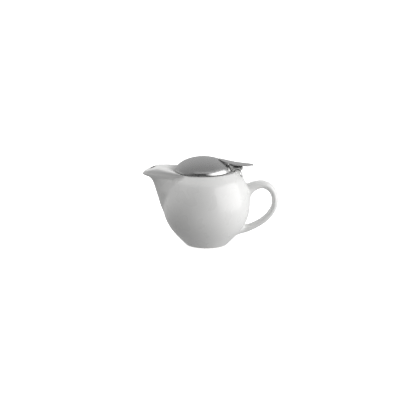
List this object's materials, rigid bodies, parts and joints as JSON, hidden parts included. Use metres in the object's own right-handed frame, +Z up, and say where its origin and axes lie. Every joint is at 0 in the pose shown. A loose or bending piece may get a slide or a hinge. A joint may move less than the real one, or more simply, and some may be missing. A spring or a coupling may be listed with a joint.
{
  "type": "teapot infuser",
  "caption": "White porcelain teapot with beak spout and loop handle, a hinged stainless dome lid with thumb tab, and a lift-out perforated infuser basket.",
  "frame": {"origin": "centre of the box's footprint, on the plane the foot ring stands on", "axes": "+Z up, +X towards the handle, -X towards the spout, Y across the pot"},
  "size_m": [0.1683, 0.108, 0.1102],
  "materials": {
    "glaze": "glossy white glaze",
    "satin_steel": "satin spun stainless steel",
    "bright_steel": "polished stainless steel",
    "basket_steel": "bright stainless sheet"
  },
  "bodies": {
    "pot": {"pot_body": "glaze", "pot_spout": "glaze", "pot_handle": "glaze"},
    "clip": {"hinge_clip": "bright_steel", "hinge_pin": "bright_steel"},
    "lid": {"lid_dome": "satin_steel", "lid_collar": "bright_steel", "lid_tab": "satin_steel", "hinge_bracket": "bright_steel"},
    "basket": {"basket_rim": "basket_steel", "basket_wall": "basket_steel", "basket_base": "basket_steel"}
  },
  "joints": [
    {"name": "lid_lift_off", "type": "slide", "parent": "pot", "child": "clip", "axis": [0, 0, 1], "range_m": [0, 0.16]},
    {"name": "lid_hinge", "type": "hinge", "parent": "clip", "child": "lid", "pos_m": [0.03785, 0, 0.097], "axis": [0, 1, 0], "range_deg": [0, 78]},
    {"name": "basket_lift_out", "type": "slide", "parent": "pot", "child": "basket", "axis": [0, 0, 1], "range_m": [0, 0.08]}
  ],
  "couplings": [
    {"joint": "basket_lift_out", "follows": "lid_lift_off", "ratio": 0.5}
  ]
}
